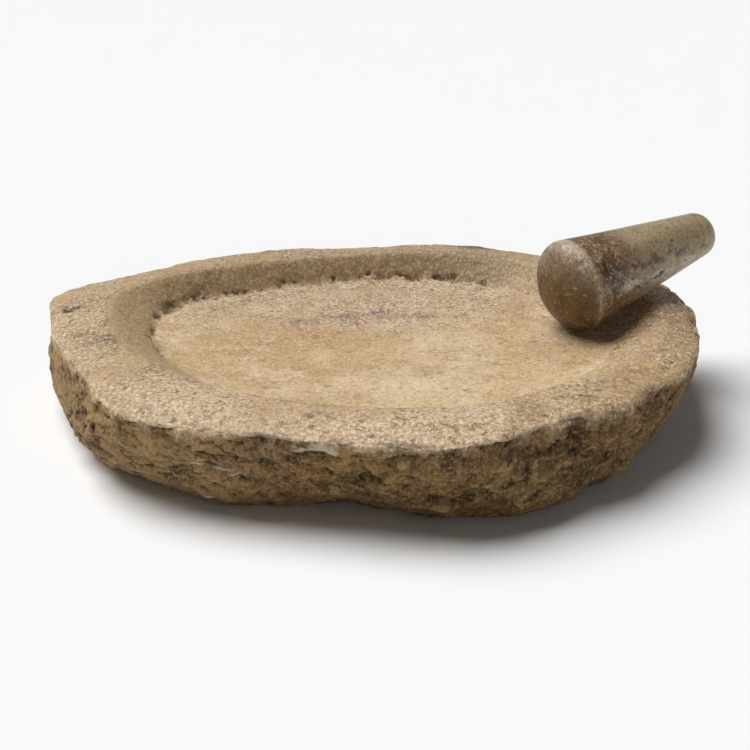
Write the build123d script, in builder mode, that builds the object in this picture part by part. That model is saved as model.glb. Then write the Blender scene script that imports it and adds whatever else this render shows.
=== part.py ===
"""Shallow stone mortar with its conical stone pestle.

The mortar is one block: rough-hewn sides that lean in towards the base, a honed flat rim and a
shallow oval basin with a gently dished floor. The pestle is a separate stone cone with a domed
grinding face, at rest with its head on the basin floor and its handle across the rim.

Millimetres, +Z up. The origin is on the base plane, below the middle of the block's rim.
"""

import math
import os

from build123d import *

# --- Driving dimensions ---------------------------------------------------------------------
BLOCK_HEIGHT = 70.0  # base plane to honed rim
FOOT_HEIGHT = 12.0  # the underside turns up to the wall over this height
WAIST_HEIGHT = 36.0  # where the wall turns steeper
FOOT_TUCK = 15.0  # how far the base plane's outline lies inside the foot's
WAIST_SHARE = 0.6  # how much of the lean the wall has made up at the waist
CORNER_RADIUS = 10.0  # plan radius of the block's dressed corners
RIM_EDGE_RADIUS = 8.0  # worn outer edge of the rim
RIM_EDGE_STEPS = 4
LIP_RADIUS = 5.0  # worn edge between rim and basin

BASIN_DEPTH = 24.0  # rim to the lowest point of the floor
BASIN_EDGE_DEPTH = 20.0  # rim to the foot of the basin wall
DISH_REACH = 170.0  # from the middle of the floor to the foot of the wall, along X

PESTLE_HEAD_RADIUS = 35.0
PESTLE_TAIL_RADIUS = 15.6
PESTLE_CONE_LENGTH = 126.0  # grinding edge to tail end
PESTLE_DOME_HEIGHT = 23.0
PESTLE_SHOULDER_RADIUS = 15.0  # where the dome turns into the cone
TAIL_EDGE_RADIUS = 12.0
PESTLE_TILT = 11.5  # degrees above level
PESTLE_HEADING = 28.0  # degrees from +X towards +Y
HEAD_X, HEAD_Y = 150.5, 37.5  # middle of the grinding edge's circle, in plan
HEAD_Z = 84.4  # leaves a hair of clearance under the head and under the handle

# Block corners in plan, counter-clockwise from the left tip: at the rim, and at the foot.
BLOCK_CORNERS = [
    ((-243, 61), (-237, 48)),
    ((-228, -12), (-225, -6)),
    ((-206, -64), (-207, -52)),
    ((-170, -140), (-178, -106)),
    ((-152, -162), (-161, -119)),
    ((-130, -172), (-140, -135)),
    ((-78, -186), (-92, -163)),
    ((0, -202), (-12, -161)),
    ((50, -207), (48, -179)),
    ((88, -192), (92, -179)),
    ((112, -172), (129, -160)),
    ((166, -141), (164, -121)),
    ((215, -83), (188, -79)),
    ((234, -42), (206, -45)),
    ((245, 36), (214, 20)),
    ((237, 93), (210, 80)),
    ((198, 133), (176, 116)),
    ((142, 174), (126, 154)),
    ((92, 202), (82, 180)),
    ((56, 205), (50, 183)),
    ((-34, 195), (-30, 174)),
    ((-62, 197), (-56, 176)),
    ((-116, 175), (-104, 155)),
    ((-150, 155), (-138, 136)),
    ((-174, 134), (-162, 118)),
    ((-232, 84), (-227, 74)),
]
# Basin in plan, the same way round: the mouth at the rim, and the foot of the wall.
BASIN_MOUTH = [
    (-190, 46),
    (-176, -16),
    (-144, -76),
    (-88, -122),
    (-10, -149),
    (62, -148),
    (130, -108),
    (186, -50),
    (213, 20),
    (198, 82),
    (140, 138),
    (60, 170),
    (-40, 159),
    (-120, 131),
    (-172, 90),
]
BASIN_FOOT = [
    (-150, 46),
    (-137, -12),
    (-108, -56),
    (-66, -90),
    (-4, -108),
    (54, -107),
    (108, -82),
    (150, -39),
    (170, 18),
    (164, 66),
    (124, 116),
    (56, 152),
    (-38, 144),
    (-108, 118),
    (-144, 84),
]


def towards_middle(point, distance):
    """The point moved towards the middle of the block by that distance."""
    x, y = point
    share = 1 - distance / math.hypot(x, y)
    return (x * share, y * share)


def between(low, high, share):
    """The point that lies that share of the way from low to high."""
    return (low[0] + (high[0] - low[0]) * share, low[1] + (high[1] - low[1]) * share)


def block_section(height, corners, inset=0.0):
    """A face at that height with rounded corners, for the block's lofts."""
    with BuildSketch(Plane.XY.offset(height)) as section:
        with BuildLine():
            FilletPolyline(*corners, radius=CORNER_RADIUS, close=True)
        make_face()
        if inset:
            offset(amount=-inset)
    return section.sketch


def rim_section(step):
    """A face of the rim's worn outer edge, which turns over in equal steps of a quarter circle."""
    turn = math.radians(90 * step / RIM_EDGE_STEPS)
    height = BLOCK_HEIGHT - RIM_EDGE_RADIUS * (1 - math.sin(turn))
    return block_section(height, rim_outline, RIM_EDGE_RADIUS * (1 - math.cos(turn)))


def basin_section(height, points):
    """A smooth face at that height, for the basin's loft."""
    with BuildSketch(Plane.XY.offset(height)) as section:
        with BuildLine():
            Spline(*points, periodic=True)
        make_face()
    return section.sketch


rim_outline = [rim for rim, foot in BLOCK_CORNERS]
foot_outline = [foot for rim, foot in BLOCK_CORNERS]
base_outline = [towards_middle(foot, FOOT_TUCK) for foot in foot_outline]
waist_outline = [between(foot, rim, WAIST_SHARE) for rim, foot in BLOCK_CORNERS]

# --- Mortar ---------------------------------------------------------------------------------
wall_foot = BLOCK_HEIGHT - BASIN_DEPTH - 1
dish_drop = BASIN_DEPTH - BASIN_EDGE_DEPTH
dish_radius = (DISH_REACH**2 + dish_drop**2) / (2 * dish_drop)

with BuildPart() as basin:
    loft([basin_section(wall_foot, BASIN_FOOT), basin_section(BLOCK_HEIGHT, BASIN_MOUTH)])
    with Locations((0, 0, BLOCK_HEIGHT - BASIN_DEPTH + dish_radius)):
        Sphere(dish_radius, mode=Mode.INTERSECT)

with BuildPart() as mortar:
    loft(
        [
            block_section(0, base_outline),
            block_section(FOOT_HEIGHT, foot_outline),
            block_section(WAIST_HEIGHT, waist_outline),
            block_section(BLOCK_HEIGHT - RIM_EDGE_RADIUS, rim_outline),
        ]
    )
    loft([rim_section(step) for step in range(RIM_EDGE_STEPS + 1)], ruled=True)
    add(basin.part, mode=Mode.SUBTRACT)
    lip_edges = mortar.faces().filter_by(Plane.XY).sort_by(Axis.Z)[-1].inner_wires()[0].edges()
    fillet(lip_edges, LIP_RADIUS)

mortar.part.label = "mortar"

# --- Pestle ---------------------------------------------------------------------------------
# The profile's plane stands upright through the pestle's axis, with its X along the axis.
# Its dome is two tangent arcs: a wide crown, and a shoulder that ends level with the axis.
shoulder_centre = PESTLE_HEAD_RADIUS - PESTLE_SHOULDER_RADIUS
crown_radius = (
    PESTLE_DOME_HEIGHT**2 + shoulder_centre**2 - PESTLE_SHOULDER_RADIUS**2
) / (2 * (PESTLE_DOME_HEIGHT - PESTLE_SHOULDER_RADIUS))
shoulder_turn = math.degrees(math.atan2(crown_radius - PESTLE_DOME_HEIGHT, shoulder_centre))

heading, tilt = math.radians(PESTLE_HEADING), math.radians(PESTLE_TILT)
axis_direction = Vector(
    math.cos(tilt) * math.cos(heading), math.cos(tilt) * math.sin(heading), math.sin(tilt)
)
across = Vector(math.sin(heading), -math.cos(heading), 0)
profile_plane = Plane(origin=(HEAD_X, HEAD_Y, HEAD_Z), x_dir=axis_direction, z_dir=across)

with BuildPart() as pestle:
    with BuildSketch(profile_plane) as profile:
        with BuildLine():
            shoulder = JernArc(
                (0, PESTLE_HEAD_RADIUS), (-1, 0), PESTLE_SHOULDER_RADIUS, shoulder_turn
            )
            JernArc(shoulder @ 1, shoulder % 1, crown_radius, 90 - shoulder_turn)
            Polyline(
                (0, PESTLE_HEAD_RADIUS),
                (PESTLE_CONE_LENGTH, PESTLE_TAIL_RADIUS),
                (PESTLE_CONE_LENGTH, 0),
                (-PESTLE_DOME_HEIGHT, 0),
            )
        make_face()
        tail_corner = profile.vertices().sort_by_distance((PESTLE_CONE_LENGTH, PESTLE_TAIL_RADIUS))
        fillet(tail_corner[0], TAIL_EDGE_RADIUS)
    revolve(axis=Axis(profile_plane.origin, axis_direction))
pestle.part.label = "pestle"

os.makedirs("parts", exist_ok=True)
for piece in (mortar, pestle):
    export_step(piece.part, f"parts/{piece.part.label}.step")
    print(piece.part.label, piece.part.is_valid, round(piece.part.volume / 1000), "cm3")
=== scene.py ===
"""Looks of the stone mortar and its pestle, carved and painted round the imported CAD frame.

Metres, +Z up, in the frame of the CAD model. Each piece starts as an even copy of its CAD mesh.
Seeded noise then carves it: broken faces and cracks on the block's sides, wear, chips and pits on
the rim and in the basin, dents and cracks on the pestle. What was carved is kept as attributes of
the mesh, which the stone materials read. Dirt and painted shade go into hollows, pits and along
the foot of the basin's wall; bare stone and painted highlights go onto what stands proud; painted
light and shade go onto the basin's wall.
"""

import math

import bpy
import numpy as np
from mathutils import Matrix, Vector


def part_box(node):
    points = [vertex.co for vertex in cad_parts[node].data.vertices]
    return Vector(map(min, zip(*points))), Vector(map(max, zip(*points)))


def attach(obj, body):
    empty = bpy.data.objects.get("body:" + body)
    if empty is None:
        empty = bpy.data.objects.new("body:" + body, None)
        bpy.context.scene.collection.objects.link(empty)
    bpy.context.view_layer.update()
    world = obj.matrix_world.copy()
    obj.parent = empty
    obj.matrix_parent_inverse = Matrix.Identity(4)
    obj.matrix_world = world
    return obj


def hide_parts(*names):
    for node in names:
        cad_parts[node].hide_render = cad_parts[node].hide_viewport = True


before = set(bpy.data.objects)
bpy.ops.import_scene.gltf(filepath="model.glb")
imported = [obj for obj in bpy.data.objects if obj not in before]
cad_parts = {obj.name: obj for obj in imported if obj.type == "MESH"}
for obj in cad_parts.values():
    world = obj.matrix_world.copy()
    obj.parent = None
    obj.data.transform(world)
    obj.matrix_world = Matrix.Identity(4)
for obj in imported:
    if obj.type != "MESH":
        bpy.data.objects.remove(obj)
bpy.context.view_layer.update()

MM = 0.001
# Grid size of each piece's even mesh.
MORTAR_GRID = 1.7 * MM
PESTLE_GRID = 0.9 * MM
# The honed rim's height, and the height at which the basin's floor meets its wall.
RIM_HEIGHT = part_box("mortar")[1].z
BASIN_EDGE_HEIGHT = RIM_HEIGHT - 20 * MM

# Camera: it looks along +Y and down, at a point above the block's front edge.
CAMERA_TARGET = (5.2 * MM, -102.5 * MM, RIM_HEIGHT)
CAMERA_DISTANCE = 881.5 * MM
CAMERA_ELEVATION = math.radians(22)
CAMERA_LENS = 65.8
CAMERA_SENSOR = 36

# Light: one broad soft key from behind and to the left, and a dim even glow from all round.
KEY_DIRECTION = (-0.43, 0.22, 0.87)
KEY_STRENGTH = 3.5
KEY_ANGLE = math.radians(48)
GLOW_STRENGTH = 0.04

# The floor's radius and height in metres, from the end of its flat middle to its turned-up edge.
FLOOR_PROFILE = [(16.0, 0.0), (18.0, 0.2), (20.0, 0.9), (21.5, 2.2), (22.5, 4.0), (23.0, 6.5)]
FLOOR_SIDES = 96
FLOOR_GREY = 0.9

# Large odd numbers that mix a cell's place and a seed into bits that look random.
CELL_KEYS = (73856093, 19349663, 83492791)
SEED_KEY = 2654435761
STIR_KEY = 0x45D9F3B
LOW_32_BITS = 0xFFFFFFFF
LOW_24_BITS = 0xFFFFFF


# --- Noise --------------------------------------------------------------------------------------
def lattice(cells, seed):
    """A steady random number from 0 to 1 for each whole-numbered cell."""
    x, y, z = np.moveaxis(cells.astype(np.int64) * CELL_KEYS, -1, 0)
    mixed = (x ^ y ^ z ^ seed * SEED_KEY) & LOW_32_BITS
    for _ in range(2):
        mixed = ((mixed ^ (mixed >> 16)) * STIR_KEY) & LOW_32_BITS
    return ((mixed ^ (mixed >> 16)) & LOW_24_BITS) / LOW_24_BITS


def noise(points, size, seed):
    """Smooth noise from -1 to 1 whose bumps are about that size: one number, or one per axis."""
    scaled = points / np.asarray(size)
    whole = np.floor(scaled)
    part = scaled - whole
    ease = part**3 * (part * (part * 6 - 15) + 10)
    total = 0.0
    for corner in np.ndindex(2, 2, 2):
        weight = np.prod(np.where(corner, ease, 1 - ease), axis=1)
        total = total + weight * lattice(whole + corner, seed)
    return total * 2 - 1


def layered(points, size, seed):
    """Noise from about -1 to 1 in three layers, each half as large and strong as the one before."""
    shares = (1, 1 / 2, 1 / 4)
    layers = [noise(points, size * share, seed + i) * share for i, share in enumerate(shares)]
    return sum(layers) / sum(shares)


def facets(points, size, seed, tilt, sharpness):
    """Broken faces: each cell about that size is a plane with its own height, -1 to 1, and tilt."""
    scaled = points / np.asarray(size)
    whole = np.floor(scaled)
    height, weight = 0.0, 0.0
    for step in np.ndindex(3, 3, 3):
        cell = whole + np.array(step) - 1
        place = np.stack([lattice(cell, seed + i) for i in range(3)], axis=1)
        slope = np.stack([lattice(cell, seed + 3 + i) * 2 - 1 for i in range(3)], axis=1) * tilt
        away = scaled - cell - place
        near = np.exp(-sharpness * (away**2).sum(axis=1)) + 1e-12
        plane = lattice(cell, seed + 6) * 2 - 1 + (away * slope).sum(axis=1)
        height = height + near * plane
        weight = weight + near
    return height / weight


def rise(values, low, high):
    """0 below low, 1 above high, and a smooth rise between them."""
    share = np.clip((values - low) / (high - low), 0, 1)
    return share * share * (3 - 2 * share)


def bell(distance, reach):
    """1 at no distance, and a smooth fall to nearly 0 at twice the reach."""
    return np.exp(-((distance / reach) ** 2))


def in_metres(millimetres):
    """Lengths given in millimetres as an array in metres."""
    return np.array(millimetres, float) * MM


# --- Meshes -------------------------------------------------------------------------------------
class Carving:
    """An even copy of a CAD node's mesh, with its points as arrays."""

    def __init__(self, node, name, grid, soften):
        source = bpy.data.objects.new(name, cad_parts[node].data.copy())
        bpy.context.scene.collection.objects.link(source)
        even = source.modifiers.new("even", "REMESH")
        even.mode = "VOXEL"
        even.voxel_size = grid
        depsgraph = bpy.context.evaluated_depsgraph_get()
        self.mesh = bpy.data.meshes.new_from_object(source.evaluated_get(depsgraph))
        source.modifiers.clear()
        source.data = self.mesh
        self.object = source
        self.edges = np.empty(len(self.mesh.edges) * 2, np.int64)
        self.mesh.edges.foreach_get("vertices", self.edges)
        self.edges = self.edges.reshape(-1, 2)
        self.points = self.spread(self.read("co"), soften)
        self.write()
        self.normals = self.spread(self.read("normal"), 3)
        self.normals /= np.linalg.norm(self.normals, axis=1)[:, None]

    def read(self, name):
        """A vertex property as an array with one row per vertex."""
        values = np.empty(len(self.mesh.vertices) * 3, np.float32)
        self.mesh.vertices.foreach_get(name, values)
        return values.reshape(-1, 3).astype(float)

    def write(self):
        """Puts the points back into the mesh."""
        self.mesh.vertices.foreach_set("co", self.points.astype(np.float32).ravel())
        self.mesh.update()

    def spread(self, values, rounds):
        """The values, each evened out with its neighbours' that many times."""
        columns = values.reshape(len(values), -1)
        a, b = self.edges.T
        ends, others = np.r_[a, b], np.r_[b, a]
        count = np.bincount(ends, minlength=len(columns))
        for _ in range(rounds):
            sums = [np.bincount(ends, column[others], len(columns)) for column in columns.T]
            columns = (columns + np.stack(sums, axis=1) / count[:, None]) / 2
        return columns.reshape(values.shape)

    def mark(self, name, values):
        """Keeps values as an attribute that a material can read."""
        attribute = self.mesh.attributes.new(name, "FLOAT", "POINT")
        attribute.data.foreach_set("value", values.astype(np.float32))

    def finish(self, depth, material):
        """Sinks each point by its depth, but not below the ground, and gives the material.

        The mark "hollow" keeps how far each place lies below the places round it.
        """
        self.points = self.points - self.normals * depth[:, None]
        self.points[:, 2] = np.maximum(self.points[:, 2], 0)
        self.mark("hollow", depth - self.spread(depth, 12))
        self.write()
        self.mesh.materials.clear()
        self.mesh.materials.append(material)
        self.mesh.polygons.foreach_set("use_smooth", [True] * len(self.mesh.polygons))
        self.mesh.update()


def ring_of(angles, radii, chosen, pick):
    """How far out the chosen points reach in every direction, as a function of the angle."""
    sectors = 180
    sector = np.floor((angles[chosen] + math.pi) / math.tau * sectors).astype(int) % sectors
    reach = np.array([pick(radii[chosen][sector == i]) for i in range(sectors)])
    reach = (np.roll(reach, 1) + 2 * reach + np.roll(reach, -1)) / 4
    centres = (np.arange(sectors) + 0.5) / sectors * math.tau - math.pi
    return np.interp(angles, centres, reach, period=math.tau)


def pits(points, places):
    """How deep each point lies in round pits, given as rows of x, y, z, radius and depth.

    A pit's middle is the point of the surface nearest to its x, y and z.
    """
    deepest = np.zeros(len(points))
    for x, y, z, radius, depth in places:
        middle = points[np.argmin(((points - (x, y, z)) ** 2).sum(axis=1))]
        away = ((points - middle) ** 2).sum(axis=1) / radius**2
        deepest = np.maximum(deepest, depth * np.clip(1 - away, 0, 1) ** 1.5)
    return deepest


# --- Mortar -------------------------------------------------------------------------------------
# Chips broken out of the rim's outer edge, holes in the front wall, and pits in the honed stone,
# in millimetres: x, y, z, radius, depth.
RIM_CHIPS = [
    (-146, -156, 62, 14, 4.5), (-126, -169, 57, 15, 5.0), (-104, -178, 60, 9, 2.5),
    (-66, -185, 61, 14, 5.0), (-50, -190, 57, 11, 4.0), (-192, -96, 62, 12, 2.0),
    (90, -192, 62, 15, 4.0), (134, -164, 62, 13, 3.5), (188, -118, 62, 13, 2.5),
    (-168, 139, 67, 10, 3.0), (240, 12, 66, 11, 5.0), (240, 50, 68, 9, 3.5),
    (236, 84, 68, 10, 3.5), (238, -24, 66, 9, 3.0),
]
WALL_HOLES = [
    (-27, -191, 45, 9, 4.0), (-9, -191, 42, 7, 3.5), (-60, -184, 44, 10, 3.5),
    (-96, -173, 40, 9, 3.0), (20, -194, 36, 10, 3.0), (66, -192, 40, 9, 3.0),
    (-150, -140, 40, 10, 3.0),
]
HONED_PITS = [
    (-219, 28, 70, 6.0, 4.0), (-213, 31, 70, 5.0, 3.0), (54, -69, 47, 2.4, 0.8),
    (66, -73, 47, 2.8, 0.9), (-100, -150, 70, 2.6, 1.0), (20, -170, 70, 2.4, 0.8),
    (-34, -166, 70, 4.4, 1.0), (-28, -163, 70, 3.0, 0.8), (-196, 8, 70, 2.6, 0.8),
]
# Broken faces of the block's sides, coarse to fine: depth and cell size in millimetres, seed,
# tilt of the faces, and how sharply they meet.
BROKEN_FACES = [
    (2.6, (52, 52, 30), 20, 1.3, 20), (1.8, (22, 22, 11), 30, 1.7, 40),
    (0.8, (11, 11, 6), 35, 2.0, 40),
]
BED_HEIGHT = 14 * MM


def hewn_depth(points):
    """How deep the sides are carved: broken faces, ragged cracks along beds, deeper cavities."""
    drift = np.stack([layered(points, 40 * MM, seed) for seed in (11, 12, 13)], axis=1)
    warped = points + 6 * MM * drift
    broken = 1.6 + 0.7 * layered(warped, in_metres((7, 7, 5)), 40)
    for depth, cell, seed, tilt, sharpness in BROKEN_FACES:
        broken += depth * facets(warped, in_metres(cell), seed, tilt, sharpness)
    bed = warped[:, 2] - 0.5 * np.maximum(warped[:, 0] - 50 * MM, 0)
    bed += 16 * MM * layered(warped, 60 * MM, 45)
    seam_distance = np.abs(np.mod(bed, BED_HEIGHT) - BED_HEIGHT / 2)
    crack = 1 - rise(seam_distance, 0.3 * MM, 1.7 * MM)
    broken += 2.8 * crack * rise(layered(warped, in_metres((26, 26, 12)), 50), 0.05, 0.3)
    broken += 2.6 * rise(layered(warped, in_metres((26, 26, 10)), 60), 0.26, 0.5)
    calm = 0.5 + 0.5 * rise(points[:, 2], 6 * MM, 22 * MM)
    calm *= 1 - 0.65 * rise(np.abs(points[:, 0]), 190 * MM, 225 * MM)
    return broken * MM * calm


def rim_depth(points, beyond_edge, frontness):
    """How far the rim's outer edge is rolled over by wear, which is most at the front."""
    corner = np.hypot(beyond_edge - 4 * MM, points[:, 2] - RIM_HEIGHT + 2 * MM)
    roll = (2.0 + 4.4 * frontness) * (1 + 0.4 * noise(points, 45 * MM, 72))
    roll += (0.4 + 1.2 * frontness) * layered(points, 16 * MM, 74)
    roll += 0.6 * layered(points, 7 * MM, 75)
    return roll * MM * bell(corner, (14 + 3 * frontness) * MM)


def basin_depth(points, basin_wall):
    """How deep the basin is worn: long shallow waves, rougher at the back, and an uneven wall."""
    grain = 0.15 + 0.3 * rise(points[:, 1], 20 * MM, 90 * MM)
    floor = 0.4 + 0.3 * noise(points, 70 * MM, 80) + grain * layered(points, 6 * MM, 81)
    wall = 0.5 + 0.6 * layered(points, 20 * MM, 82) + 0.35 * layered(points, 5 * MM, 83)
    return (floor * (1 - basin_wall) + wall * basin_wall) * MM


def carve_mortar():
    """The block: rough-hewn outside, worn rim, honed basin with pits along the foot of its wall."""
    block = Carving("mortar", "mortar_stone", MORTAR_GRID, soften=12)
    points, up = block.points, block.normals[:, 2]
    angles = np.arctan2(points[:, 1], points[:, 0])
    radii = np.hypot(points[:, 0], points[:, 1])
    below_rim = RIM_HEIGHT - points[:, 2]

    # Zones: shares from 0 to 1 of basin, rim, outside and underside, found from the CAD shape.
    flat_top = (points[:, 2] > RIM_HEIGHT - 0.5 * MM) & (up > 0.9)
    mouth = ring_of(angles, radii, flat_top, np.min)
    edge = ring_of(angles, radii, flat_top, np.max)
    across = (radii - mouth) / (edge - mouth)
    in_basin = (across < 0.1) & (up > 0.02)
    above_floor = in_basin & (points[:, 2] > BASIN_EDGE_HEIGHT + 1.2 * MM)
    foot = ring_of(angles, radii, above_floor, np.min)
    past_foot = radii - foot + 4 * MM * layered(points, 12 * MM, 95)
    basin_wall = in_basin * rise(past_foot, -4 * MM, 4 * MM)
    outer = np.maximum(rise(across, 0.5, 0.8), rise(below_rim, 12 * MM, 20 * MM))
    outer = np.where(in_basin, 0, outer)
    outside = outer * rise(below_rim, 1 * MM, 22 * MM)
    under = rise(-up, 0.75, 0.97)
    rim = (1 - outside) * (1 - in_basin)
    ragged_line = 6 * MM * layered(points, 12 * MM, 96) + 5 * MM * layered(points, 40 * MM, 97)
    side = outer * rise(below_rim + ragged_line, 4 * MM, 17 * MM)
    frontness = rise(-points[:, 1], -60 * MM, 90 * MM)
    backness = rise(np.sin(angles - math.radians(15)), -0.1, 0.25)

    depth = np.zeros(len(points))
    rough = np.flatnonzero(outside > 0.01)
    depth[rough] = hewn_depth(points[rough]) * outside[rough] * (1 - 0.7 * under[rough])

    # Rim: low waves from honing, an outer edge that rolls over, and a lip worn at the front.
    waves = 0.4 + 0.35 * noise(points, 60 * MM, 70) + 0.3 * layered(points, 14 * MM, 71)
    depth += (waves + 0.25 * layered(points, 5 * MM, 73)) * MM * rim
    depth += rim_depth(points, radii - edge, frontness) * rise(across, 0.2, 0.5)
    lip = np.hypot(radii - mouth, below_rim)
    depth += 0.9 * frontness * MM * bell(lip, 7 * MM) * (across < 0.5)
    depth += basin_depth(points, basin_wall) * in_basin

    # The foot of the basin's wall, at the back and left, is undercut by a ragged row of small
    # tooth-like pits, which crowd together at the left end.
    along = np.stack([angles * 150 * MM, radii * 0.6, 0 * radii], axis=1)
    crowd = bell(angles - math.radians(150), 0.3)
    near_foot = bell(past_foot - 0.5 * MM, (1.8 + 3.2 * crowd) * MM) * in_basin * backness
    teeth = 0.7 * noise(along, 6 * MM, 91) + 1.1 * layered(points, 3.6 * MM, 92) + 0.35 * crowd
    teeth = rise(teeth, -0.1, 0.8) * near_foot
    holes = pits(points, in_metres(WALL_HOLES)) + pits(points, in_metres(RIM_CHIPS))
    small = pits(points, in_metres(HONED_PITS))
    depth += (0.6 * near_foot + 2.0 * teeth) * MM + small
    depth += holes * np.clip(0.7 + 0.9 * layered(points, 8 * MM, 90), 0, 1.3)

    # shaded is 1 on the back and left of the basin's wall, which face away from the key light, and
    # 0.2 at the right and front. The mark basin_wall carries it, and the material paints light and
    # shade on the wall with it.
    shaded = 0.2 + 0.8 * rise(np.sin(angles - math.radians(25)), -0.35, 0.2)
    broken_out = rise(holes, 1 * MM, 4 * MM) * (1 - in_basin)
    block.mark("side", np.maximum.reduce([side, under, broken_out]))
    block.mark("basin_wall", basin_wall * shaded)
    block.mark("floor", in_basin * (1 - basin_wall))
    # Dirt and painted shade: the mark pit darkens pits and a band along the foot of the basin's
    # wall.
    block.mark("pit", np.clip(0.8 * teeth + 0.25 * near_foot + small / MM, 0, 1))
    block.finish(depth, mortar_material())
    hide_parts("mortar")
    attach(block.object, "mortar")


# --- Pestle -------------------------------------------------------------------------------------
# The middle of the grinding edge's circle in millimetres, and the direction from there to the tail.
HEAD = (150.5, 37.5, 84.4)
TILT, HEADING = math.radians(11.5), math.radians(28)
AXIS = (
    math.cos(TILT) * math.cos(HEADING), math.cos(TILT) * math.sin(HEADING), math.sin(TILT)
)
# Small nicks and cracks, in millimetres: x, y, z, radius, depth.
PESTLE_NICKS = [
    (225, 56, 113, 1.8, 0.9), (216, 44, 91, 3.4, 1.4), (212, 41, 89.5, 2.6, 0.7),
    (236, 62, 97, 1.8, 0.8), (192, 25, 93, 1.8, 0.7),
]


def carve_pestle():
    """The pestle: slightly uneven from hand-dressing, with dents, fine pits and a few cracks."""
    cone = Carving("pestle", "pestle_stone", PESTLE_GRID, soften=4)
    points = cone.points
    depth = 0.25 + 0.22 * noise(points, 30 * MM, 100) + 0.12 * layered(points, 9 * MM, 101)
    depth += 0.06 * layered(points, 2.5 * MM, 102)
    specks = rise(noise(points, 2.4 * MM, 103), 0.72, 0.88)
    nicks = pits(points, in_metres(PESTLE_NICKS))
    depth = (np.maximum(depth, 0) + 0.3 * specks) * MM + nicks
    cone.mark("pit", np.clip(0.5 * specks + nicks / (0.6 * MM), 0, 1))
    cone.finish(depth, pestle_material())
    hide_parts("pestle")
    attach(cone.object, "pestle")


# --- Materials ----------------------------------------------------------------------------------
def srgb(red, green, blue):
    """A colour given as 0 to 255 screen values, as a shader needs it."""
    shares = [value / 255 for value in (red, green, blue)]
    linear = [s / 12.92 if s <= 0.04045 else ((s + 0.055) / 1.055) ** 2.4 for s in shares]
    return (*linear, 1.0)


class Painter:
    """Short names for the nodes of one material, all in the piece's own coordinates."""

    def __init__(self, name):
        self.material = bpy.data.materials.new(name)
        self.material.use_nodes = True
        self.tree = self.material.node_tree
        self.shader = self.tree.nodes["Principled BSDF"]
        self.place = self.tree.nodes.new("ShaderNodeTexCoord").outputs["Object"]

    def node(self, kind, inputs, **settings):
        made = self.tree.nodes.new("ShaderNode" + kind)
        for name, value in settings.items():
            setattr(made, name, value)
        for name, value in inputs.items():
            self.put(made.inputs[name], value)
        return made

    def put(self, socket, value):
        if isinstance(value, bpy.types.NodeSocket):
            self.tree.links.new(value, socket)
        else:
            socket.default_value = value

    def axes(self, place):
        """A place's X, Y and Z as separate values."""
        return self.node("SeparateXYZ", {"Vector": place}).outputs

    def noise(self, size, detail=3.0, rough=0.55, place=None):
        """Noise from 0 to 1 whose features are about that size in metres."""
        inputs = {"Vector": place or self.place, "Scale": 1 / size, "Detail": detail}
        inputs["Roughness"] = rough
        return self.node("TexNoise", inputs).outputs["Fac"]

    def math(self, operation, a, b=0.0):
        return self.node("Math", {0: a, 1: b}, operation=operation).outputs[0]

    def times(self, a, b):
        return self.math("MULTIPLY", a, b)

    def rise(self, value, low, high, gain=1.0, start=0.0):
        """The start at low and before, start plus gain at high and past it, smooth between."""
        inputs = {"Value": value, "From Min": low, "From Max": high}
        inputs |= {"To Min": start, "To Max": start + gain}
        return self.node("MapRange", inputs, interpolation_type="SMOOTHSTEP").outputs["Result"]

    def mix(self, share, low, high, blend="MIX"):
        """A mix of two colours, whose sockets on the node are 6 and 7, and 2 for the result."""
        inputs = {0: share, 6: low, 7: high}
        return self.node("Mix", inputs, data_type="RGBA", blend_type=blend).outputs[2]

    def mark(self, name):
        return self.node("Attribute", {}, attribute_name=name).outputs["Fac"]

    def ragged(self, size, amount):
        """Coordinates pushed about by noise, which makes the edge of a patch ragged."""
        push = self.node("TexNoise", {"Vector": self.place, "Scale": 1 / size, "Detail": 3.0})
        centred = self.vector("SUBTRACT", push.outputs["Color"], (0.5, 0.5, 0.5))
        return self.vector("ADD", self.place, self.vector("SCALE", centred, scale=amount))

    def vector(self, operation, a, b=None, scale=None):
        made = self.node("VectorMath", {0: a}, operation=operation)
        if b is not None:
            self.put(made.inputs[1], b)
        if scale is not None:
            self.put(made.inputs["Scale"], scale)
        return made.outputs["Value" if operation in ("LENGTH", "DOT_PRODUCT") else "Vector"]

    def patch(self, place, centre, size, soft):
        """1 at the centre of an oval patch with those half-widths in mm, and 0 outside it."""
        away = self.vector("SUBTRACT", place, in_metres(centre))
        scaled = self.vector("DIVIDE", away, in_metres(size))
        return self.rise(self.vector("LENGTH", scaled), 1.0, 1.0 - soft)

    def patches(self, place, rows, soft):
        """The strongest of several patches, each given as its centre and its half-widths."""
        total = self.patch(place, *rows[0], soft)
        for row in rows[1:]:
            total = self.math("MAXIMUM", total, self.patch(place, *row, soft))
        return total

    def bump(self, heights):
        """Bumps, given as (height from 0 to 1, depth in metres) pairs, one on top of another."""
        normal = None
        for height, depth in heights:
            inputs = {"Height": height, "Distance": depth, "Strength": 1.0}
            if normal is not None:
                inputs["Normal"] = normal
            normal = self.node("Bump", inputs).outputs["Normal"]
        self.put(self.shader.inputs["Normal"], normal)


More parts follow.
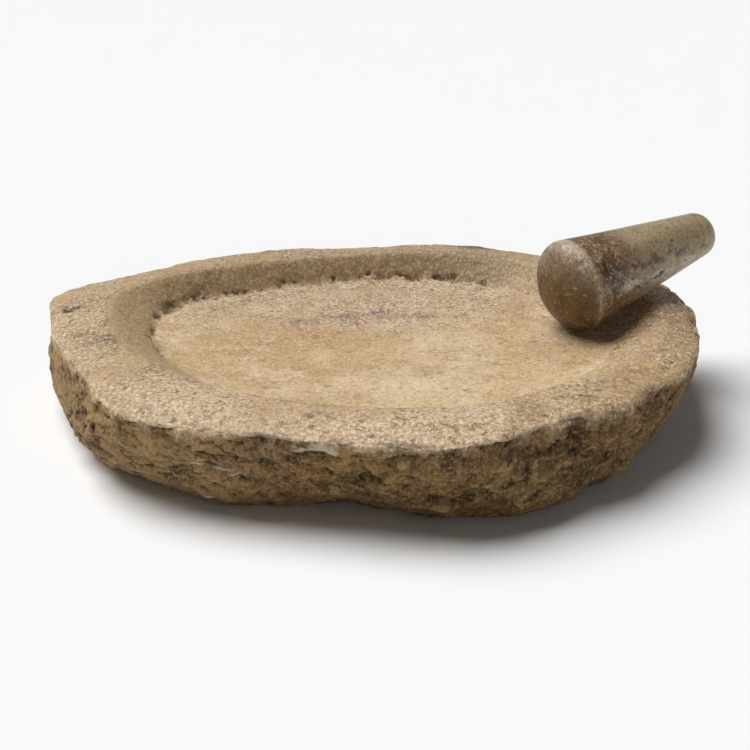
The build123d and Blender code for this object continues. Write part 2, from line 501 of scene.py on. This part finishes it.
class MortarPaint(Painter):
    """The mortar's painter, with the noises, marks and zones that its layers share."""

    def __init__(self):
        super().__init__("mortar limestone")
        own_place = self.axes(self.place)
        self.x, self.y = own_place["X"], own_place["Y"]
        self.loose = self.ragged(18 * MM, 22 * MM)
        self.tight = self.ragged(5 * MM, 7 * MM)
        self.broad = self.noise(80 * MM, 4.0)
        self.middling = self.noise(18 * MM, 5.0, 0.65)
        self.mottle = self.noise(6 * MM, 5.0, 0.7)
        self.grain = self.noise(2.4 * MM, 3.0, 0.75)
        self.side, self.floor = self.mark("side"), self.mark("floor")
        self.basin_wall = self.mark("basin_wall")

        # The back of the floor is sugary, and the front of the rim is pale, with cloudy borders.
        clouds = self.times(self.math("SUBTRACT", self.broad, 0.5), 240 * MM)
        wisps = self.times(self.math("SUBTRACT", self.middling, 0.5), 120 * MM)
        clouds = self.math("ADD", clouds, wisps)
        back_line = self.math("ADD", self.y, clouds)
        self.sugary = self.times(self.rise(back_line, 20 * MM, 110 * MM, 0.8), self.floor)
        front_line = self.math("SUBTRACT", clouds, self.y)
        self.front = self.rise(front_line, 110 * MM, 200 * MM, 0.6)


def honed_floor(paint):
    """Honey with ochre clouds and a paler sugary part at the back.

    A painted pool of light lies on the middle and front of the floor, and a painted shadow of the
    pestle lies on its right.
    """
    stretched = paint.vector("MULTIPLY", paint.loose, (0.7, 1, 1))
    streaky = paint.noise(20 * MM, 5.0, 0.7, place=stretched)
    honed = paint.mix(paint.rise(paint.broad, 0.35, 0.65), srgb(196, 164, 118), srgb(216, 190, 148))
    honed = paint.mix(paint.rise(streaky, 0.47, 0.7, 0.6), honed, srgb(180, 142, 94))
    honed = paint.mix(paint.rise(streaky, 0.49, 0.34, 0.6), honed, srgb(232, 208, 170))
    centre = paint.patch(paint.loose, (-20, 30, 47), (90, 36, 30), 0.9)
    honed = paint.mix(paint.times(centre, 0.5), honed, srgb(186, 146, 94))
    uneven = paint.rise(paint.middling, 0.4, 0.62)
    pale = paint.mix(uneven, srgb(208, 182, 152), srgb(186, 154, 122))
    honed = paint.mix(paint.sugary, honed, pale)
    worn_spots = paint.times(paint.sugary, paint.rise(paint.mottle, 0.54, 0.62, 0.75))
    honed = paint.mix(worn_spots, honed, srgb(136, 104, 74))
    # A painted pool of light on the middle and front of the floor.
    light_pool = paint.patches(
        paint.loose, [((58, 20, 47), (52, 34, 30)), ((20, -62, 47), (80, 26, 30))], 0.9
    )
    honed = paint.mix(paint.times(light_pool, 0.55), honed, srgb(232, 208, 170))
    # Painted shadow of the pestle on the right of the floor.
    dim = paint.patch(paint.loose, (142, 0, 50), (44, 50, 30), 0.9)
    honed = paint.mix(paint.times(dim, 0.6), honed, srgb(170, 138, 96))
    veins = paint.patches(
        paint.loose,
        [
            ((-48, 62, 47), (20, 12, 20)), ((-18, 76, 47), (22, 14, 20)),
            ((10, 82, 47), (22, 14, 20)), ((42, 76, 47), (16, 9, 20)),
        ],
        0.9,
    )
    veins = paint.times(veins, paint.rise(paint.mottle, 0.38, 0.58, 0.85))
    honed = paint.mix(veins, honed, srgb(120, 98, 92))
    seam = paint.patches(
        paint.loose, [((60, 2, 47), (26, 3, 20)), ((88, -26, 47), (18, 3, 20))], 0.8
    )
    honed = paint.mix(paint.times(seam, 0.4), honed, srgb(128, 108, 88))
    return honed


def honed_rim_and_wall(paint, honed):
    """The rim, browner than the floor but pale at the front, and the basin's wall in a duller tone.

    A darker brown patch lies on the left of the rim, and a painted shadow of the pestle on its
    right end. The basin's wall is painted lighter at the back and left, which face away from the
    key light, and its back right part has painted shade.
    """
    not_floor = paint.math("SUBTRACT", 1.0, paint.floor)
    honed = paint.mix(paint.times(not_floor, 0.55), honed, srgb(170, 140, 100))
    golden = paint.times(not_floor, paint.rise(paint.middling, 0.52, 0.64, 0.5))
    honed = paint.mix(golden, honed, srgb(204, 166, 110))
    smudged = paint.times(not_floor, paint.rise(paint.middling, 0.46, 0.34, 0.5))
    honed = paint.mix(smudged, honed, srgb(142, 112, 80))
    # A darker brown patch on the left of the rim, and a painted shadow of the pestle on the rim's
    # right end.
    brown_patch_and_pestle_shadow = paint.patches(
        paint.loose, [((225, 20, 70), (60, 90, 30)), ((-180, -36, 70), (26, 26, 30))], 0.9
    )
    honed = paint.mix(paint.times(brown_patch_and_pestle_shadow, 0.7), honed, srgb(136, 108, 74))
    back = paint.times(not_floor, paint.rise(paint.y, 110 * MM, 170 * MM, 0.35))
    honed = paint.mix(back, honed, srgb(150, 120, 84))
    honed = paint.mix(paint.front, honed, srgb(220, 190, 156))
    # The basin's wall in a duller, greyer tone, with painted light: it is strongest on the back and
    # left of the wall, which face away from the key light.
    wall_tone_and_light = paint.times(paint.basin_wall, paint.rise(paint.middling, 0.25, 0.6, 0.7))
    honed = paint.mix(wall_tone_and_light, honed, srgb(182, 156, 118))
    # Painted shade on the back right part of the basin's wall.
    back_right_wall_shade = paint.patch(paint.loose, (80, 160, 62), (80, 50, 40), 0.9)
    back_right_wall_shade = paint.times(back_right_wall_shade, paint.rise(paint.basin_wall, 0.0, 0.6, 0.7))
    honed = paint.mix(back_right_wall_shade, honed, srgb(142, 116, 80))
    return honed


def bed_cracks(paint):
    """Thin dark cracks between the flakes, which climb towards both ends of the block."""
    warped = paint.axes(paint.tight)
    climb = paint.times(paint.math("ABSOLUTE", warped["X"]), 0.4)
    fall = paint.math("SUBTRACT", warped["Z"], climb)
    beds = paint.node("CombineXYZ", {"X": warped["X"], "Y": warped["Y"], "Z": fall}).outputs[0]
    beds = paint.noise(24 * MM, 4.0, 0.55, place=paint.vector("MULTIPLY", beds, (0.8, 0.8, 2.4)))
    crack = paint.rise(paint.math("ABSOLUTE", paint.math("SUBTRACT", beds, 0.5)), 0.028, 0.006)
    crack = paint.times(crack, paint.rise(paint.middling, 0.4, 0.56))
    return paint.times(crack, paint.side)


def patina_of_sides(paint, crack):
    """Brown patina over the honey stone, olive and rust in places, and dark in the cracks.

    Painted shade darkens the right end of the block and painted light brightens its left end.
    """
    patina = paint.mix(paint.rise(paint.broad, 0.35, 0.65), srgb(122, 92, 52), srgb(160, 128, 78))
    patina = paint.mix(paint.rise(paint.middling, 0.5, 0.66, 0.8), patina, srgb(76, 56, 28))
    rust = paint.rise(paint.noise(34 * MM, 3.0, place=paint.loose), 0.55, 0.72, 0.6)
    patina = paint.mix(rust, patina, srgb(144, 98, 46))
    olive = paint.rise(paint.noise(26 * MM, 3.0, place=paint.tight), 0.56, 0.74, 0.6)
    patina = paint.mix(olive, patina, srgb(104, 96, 62))
    low_place = paint.axes(paint.loose)["Z"]
    patina = paint.mix(paint.rise(low_place, 24 * MM, 6 * MM, 0.6), patina, srgb(122, 92, 50))
    # Painted shade towards the right end of the block, away from the key light.
    patina = paint.mix(paint.rise(paint.x, -30 * MM, 40 * MM, 0.62), patina, srgb(88, 66, 34))
    # Painted light at the left end of the block, which faces the key light.
    patina = paint.mix(paint.rise(paint.x, -20 * MM, -110 * MM, 0.3), patina, srgb(178, 150, 112))
    return paint.mix(paint.times(crack, 0.7), patina, srgb(54, 40, 22))


def with_dirt_and_shade(paint, stone):
    """Dirt and painted shade in hollows, in dark pits and along the foot of the basin's wall; bare
    light stone and painted highlights on what stands proud.
    """
    hollow = paint.mark("hollow")
    # Dirt and painted shade in the hollows, strongest on the sides.
    hollow_dirt_and_shade = paint.rise(hollow, 0.1 * MM, 1.4 * MM, 0.85)
    hollow_dirt_and_shade = paint.times(hollow_dirt_and_shade, paint.rise(paint.side, 0.0, 1.0, 0.65, 0.35))
    stone = paint.mix(hollow_dirt_and_shade, stone, srgb(54, 40, 22))
    # Bare stone and a painted highlight on what stands proud of the sides.
    proud = paint.rise(paint.times(hollow, -1.0), 0.2 * MM, 1.8 * MM, 0.5)
    stone = paint.mix(paint.times(proud, paint.side), stone, srgb(178, 148, 104))
    # Dirt and painted shade darken the pits and a band along the foot of the basin's wall.
    pit_dirt_and_shade = paint.mix(paint.rise(paint.mottle, 0.4, 0.6), srgb(84, 62, 38), srgb(130, 100, 66))
    return paint.mix(paint.rise(paint.mark("pit"), 0.08, 0.8, 0.7), stone, pit_dirt_and_shade)


def polish(paint):
    """How far the grains are worn away: most in the basin, less on the rim and the sides."""
    smooth_floor = paint.times(paint.math("SUBTRACT", paint.floor, paint.sugary), 0.5)
    in_clouds = paint.rise(paint.broad, 0.56, 0.42, 0.45)
    polished = paint.times(in_clouds, paint.rise(paint.side, 0.6, 0.1))
    polished = paint.math("MAXIMUM", polished, paint.times(paint.basin_wall, 0.5))
    polished = paint.times(polished, paint.math("SUBTRACT", 1.0, paint.front))
    polished = paint.math("MAXIMUM", polished, smooth_floor)
    return paint.math("MAXIMUM", polished, paint.times(paint.side, 0.35))


def with_grains(paint, stone, polished):
    """Grains of a few millimetres, dark and light, which polishing takes away."""
    grainy = paint.math("SUBTRACT", 1.0, polished)
    dark_flecks = paint.times(paint.rise(paint.mottle, 0.49, 0.36, 0.75), grainy)
    stone = paint.mix(dark_flecks, stone, paint.mix(1.0, stone, srgb(146, 122, 92), "MULTIPLY"))
    light_grains = paint.times(paint.rise(paint.grain, 0.52, 0.63, 0.75), grainy)
    grain_colour = paint.mix(paint.side, srgb(246, 230, 208), srgb(186, 154, 106))
    stone = paint.mix(light_grains, stone, grain_colour)
    dark_grains = paint.times(paint.rise(paint.grain, 0.48, 0.36, 0.6), grainy)
    darker = paint.mix(1.0, stone, srgb(146, 116, 84), "MULTIPLY")
    return paint.mix(dark_grains, stone, darker)


def with_stains(paint, stone):
    """A greenish-black stain in a thin line below the rim's edge, and patches beside it."""
    stains = paint.patches(
        paint.tight,
        [
            ((96, -188, 62), (18, 18, 6)), ((-130, -167, 58), (12, 12, 6)),
            ((-62, -184, 61), (14, 14, 5)), ((134, -164, 64), (26, 18, 4)),
            ((92, 190, 68), (34, 18, 7)), ((190, -116, 63), (22, 18, 3)),
            ((-217, 29, 69), (7, 5, 6)),
        ],
        0.8,
    )
    crack_line = paint.patches(
        paint.ragged(12 * MM, 8 * MM),
        [
            ((-14, -200, 64), (16, 20, 1.6)), ((20, -203, 63), (28, 20, 1.8)),
            ((-148, -156, 59), (16, 14, 1.8)), ((-64, -186, 63), (14, 14, 1.8)),
            ((-108, -176, 64), (22, 14, 1.2)),
        ],
        0.8,
    )
    stains = paint.math("MAXIMUM", stains, crack_line)
    stained = paint.times(stains, paint.rise(paint.mottle, 0.38, 0.54, 0.9))
    return paint.mix(stained, stone, srgb(40, 34, 24))


def with_plaster(paint, stone):
    """Lime plaster left on the front wall, and thin white veins in the wall beside it."""
    plaster = paint.patches(
        paint.tight,
        [
            ((-38, -191, 56), (6, 14, 2.5)), ((-29, -194, 58), (9, 14, 5)),
            ((-20, -196, 56), (4, 14, 5)), ((-5, -200, 60), (4.5, 12, 2.5)),
        ],
        0.4,
    )
    plaster = paint.times(plaster, paint.rise(paint.mottle, 0.32, 0.44, 0.9))
    stone = paint.mix(plaster, stone, srgb(190, 176, 154))
    white_veins = paint.patches(
        paint.ragged(9 * MM, 5 * MM),
        [
            ((-106, -166, 38), (10, 14, 0.8)), ((-88, -172, 37.5), (9, 14, 0.8)),
            ((-80, -174, 35), (5, 14, 0.9)), ((-75, -176, 32.5), (5, 14, 0.9)),
            ((-101, -155, 9), (12, 20, 0.8)),
        ],
        0.6,
    )
    return paint.mix(paint.times(white_veins, 0.8), stone, srgb(200, 190, 172))


def mortar_material():
    """Honey-coloured limestone: sugary where honed, brown and stained on the broken sides."""
    paint = MortarPaint()
    crack, polished = bed_cracks(paint), polish(paint)
    honed = honed_rim_and_wall(paint, honed_floor(paint))
    stone = paint.mix(paint.side, honed, patina_of_sides(paint, crack))
    stone = with_grains(paint, with_dirt_and_shade(paint, stone), polished)
    stone = with_plaster(paint, with_stains(paint, stone))
    paint.put(paint.shader.inputs["Base Color"], stone)
    paint.put(paint.shader.inputs["Roughness"], paint.rise(paint.side, 0.0, 1.0, 0.4, 0.52))
    relief = paint.times(paint.mottle, paint.rise(polished, 0.0, 0.6, -0.6, 1.0))
    cracked = paint.math("SUBTRACT", 1.0, crack)
    paint.bump([(cracked, 1.2 * MM), (relief, 1.2 * MM), (paint.grain, 0.8 * MM)])
    return paint.material


def pestle_material():
    """Olive-brown stone polished by hands, russet and dark in patches.

    A pale painted highlight runs along the top of the grinding edge, and painted light lies on the
    top of the dome.
    """
    paint = Painter("pestle stone")
    ragged = paint.ragged(12 * MM, 16 * MM)
    fine_ragged = paint.ragged(4 * MM, 5 * MM)
    broad = paint.noise(40 * MM, 4.0)
    middling = paint.noise(10 * MM, 5.0, 0.65)
    mottle = paint.noise(4 * MM, 5.0, 0.7)
    grain = paint.noise(1.8 * MM, 3.0, 0.7)
    pit = paint.mark("pit")
    from_head = paint.vector("SUBTRACT", fine_ragged, in_metres(HEAD))
    along = paint.vector("DOT_PRODUCT", from_head, AXIS)

    # Olive handle; a browner head, with painted light that makes the dome lighter towards its top.
    stone = paint.mix(paint.rise(broad, 0.35, 0.65), srgb(156, 140, 108), srgb(184, 168, 136))
    stone = paint.mix(paint.rise(middling, 0.48, 0.7, 0.6), stone, srgb(110, 90, 58))
    on_dome = paint.rise(along, 2 * MM, -6 * MM)
    dome = paint.mix(paint.rise(middling, 0.4, 0.65), srgb(116, 92, 56), srgb(96, 72, 40))
    height = paint.axes(ragged)["Z"]
    # Painted light on the upper part of the dome.
    dome = paint.mix(paint.rise(height, 85 * MM, 112 * MM, 0.8), dome, srgb(138, 118, 92))
    stone = paint.mix(on_dome, stone, dome)

    # Russet and nearly black patches on the cone behind the grinding edge, and a dark band.
    near_edge = paint.times(
        paint.rise(along, -1 * MM, 5 * MM), paint.rise(along, 54 * MM, 24 * MM)
    )
    russet = paint.times(near_edge, paint.rise(mottle, 0.32, 0.56, 0.9))
    stone = paint.mix(russet, stone, srgb(102, 64, 38))
    dark = paint.patches(
        ragged, [((172, 19, 100), (15, 14, 13)), ((182, 18, 89), (15, 14, 10))], 0.9
    )
    dark = paint.times(dark, paint.rise(mottle, 0.32, 0.5, 0.9))
    stone = paint.mix(dark, stone, srgb(42, 26, 16))
    band = paint.patches(
        ragged,
        [
            ((196, 30, 101), (14, 16, 6)), ((210, 40, 102), (16, 16, 5)),
            ((230, 52, 105), (20, 14, 5)),
        ],
        0.8,
    )
    band = paint.times(band, paint.rise(mottle, 0.34, 0.54, 0.9))
    stone = paint.mix(band, stone, srgb(72, 52, 32))

    # A pale painted highlight along the upper grinding edge, a hairline round it, and a streak on
    # the cone.
    edge_band = paint.times(
        paint.rise(along, -15 * MM, -2 * MM), paint.rise(along, 6 * MM, 1 * MM)
    )
    upper = paint.rise(height, 90 * MM, 110 * MM)
    edge_highlight = paint.times(edge_band, upper)
    edge_highlight = paint.times(edge_highlight, paint.rise(mottle, 0.4, 0.62, 0.85))
    stone = paint.mix(edge_highlight, stone, srgb(214, 200, 180))
    hairline = paint.times(
        paint.rise(along, -1.5 * MM, 0.0), paint.rise(along, 1.6 * MM, 0.2 * MM)
    )
    hairline = paint.times(hairline, paint.rise(mottle, 0.4, 0.55, 0.6))
    stone = paint.mix(hairline, stone, srgb(206, 192, 170))
    streak = paint.patches(
        ragged,
        [((192, 24, 88), (20, 14, 5)), ((216, 42, 92), (20, 14, 5)), ((240, 60, 96), (16, 12, 4))],
        0.8,
    )
    streak = paint.times(streak, paint.rise(mottle, 0.34, 0.54, 0.95))
    stone = paint.mix(streak, stone, srgb(208, 196, 176))

    # Thin cracks on the side of the cone that faces the front.
    cracks = paint.patches(
        ragged,
        [((212, 42, 90), (9, 9, 1.2)), ((204, 37, 87), (9, 9, 1.0)), ((196, 30, 84), (7, 9, 0.9))],
        0.7,
    )
    stone = paint.mix(cracks, stone, srgb(44, 32, 22))

    # Rusty and pale specks, and dark pits.
    specks = paint.rise(paint.noise(3.4 * MM, 2.0, 0.6), 0.6, 0.7, 0.75)
    stone = paint.mix(specks, stone, srgb(184, 166, 128))
    rusty = paint.rise(paint.noise(4 * MM, 3.0, 0.6, place=ragged), 0.58, 0.68, 0.7)
    stone = paint.mix(rusty, stone, srgb(112, 66, 30))
    stone = paint.mix(paint.rise(pit, 0.2, 0.9, 0.75), stone, srgb(52, 36, 22))
    shade = paint.mix(1.0, stone, srgb(170, 156, 136), "MULTIPLY")
    stone = paint.mix(paint.rise(grain, 0.56, 0.36, 0.6), stone, shade)
    paint.put(paint.shader.inputs["Base Color"], stone)
    paint.put(paint.shader.inputs["Roughness"], paint.rise(middling, 0.35, 0.7, 0.2, 0.36))
    paint.bump([(middling, 0.5 * MM), (grain, 0.2 * MM)])
    return paint.material


# --- Camera, floor and light --------------------------------------------------------------------
def make_camera():
    """A camera at the front, above the rim, level from side to side."""
    camera = bpy.data.objects.new("camera", bpy.data.cameras.new("camera"))
    camera.data.lens = CAMERA_LENS
    camera.data.sensor_width = CAMERA_SENSOR
    back = Vector((0, -math.cos(CAMERA_ELEVATION), math.sin(CAMERA_ELEVATION)))
    camera.location = Vector(CAMERA_TARGET) + CAMERA_DISTANCE * back
    camera.rotation_euler = (math.pi / 2 - CAMERA_ELEVATION, 0, 0)
    camera.data.clip_start = 0.05
    camera.data.clip_end = 100
    bpy.context.scene.collection.objects.link(camera)
    bpy.context.scene.camera = camera


def make_floor():
    """A plain pale round floor that turns up far away into a backdrop for low views."""
    turns = [i / FLOOR_SIDES * math.tau for i in range(FLOOR_SIDES)]
    corners = [
        (reach * math.cos(turn), reach * math.sin(turn), height)
        for reach, height in FLOOR_PROFILE
        for turn in turns
    ]
    faces = [tuple(range(FLOOR_SIDES))]
    for ring in range(len(FLOOR_PROFILE) - 1):
        inner, outer = ring * FLOOR_SIDES, (ring + 1) * FLOOR_SIDES
        for i in range(FLOOR_SIDES):
            after = (i + 1) % FLOOR_SIDES
            faces.append((inner + i, outer + i, outer + after, inner + after))
    mesh = bpy.data.meshes.new("floor")
    mesh.from_pydata(corners, [], faces)
    mesh.polygons.foreach_set("use_smooth", [True] * len(faces))
    floor = bpy.data.objects.new("floor", mesh)
    bpy.context.scene.collection.objects.link(floor)
    pale = bpy.data.materials.new("floor")
    pale.use_nodes = True
    shader = pale.node_tree.nodes["Principled BSDF"]
    shader.inputs["Base Color"].default_value = (FLOOR_GREY, FLOOR_GREY, FLOOR_GREY, 1)
    shader.inputs["Roughness"].default_value = 0.9
    mesh.materials.append(pale)


def make_light():
    """One broad soft light high up, behind and to the left, and a dim even glow from all round."""
    key = bpy.data.objects.new("key", bpy.data.lights.new("key", "SUN"))
    key.data.energy = KEY_STRENGTH
    key.data.angle = KEY_ANGLE
    key.rotation_euler = Vector(KEY_DIRECTION).to_track_quat("Z", "Y").to_euler()
    bpy.context.scene.collection.objects.link(key)
    world = bpy.data.worlds.new("studio")
    world.use_nodes = True
    glow = world.node_tree.nodes["Background"]
    glow.inputs["Color"].default_value = (1, 1, 1, 1)
    glow.inputs["Strength"].default_value = GLOW_STRENGTH
    bpy.context.scene.world = world
    bpy.context.scene.view_settings.view_transform = "Standard"


make_camera()
make_floor()
make_light()
carve_mortar()
carve_pestle()
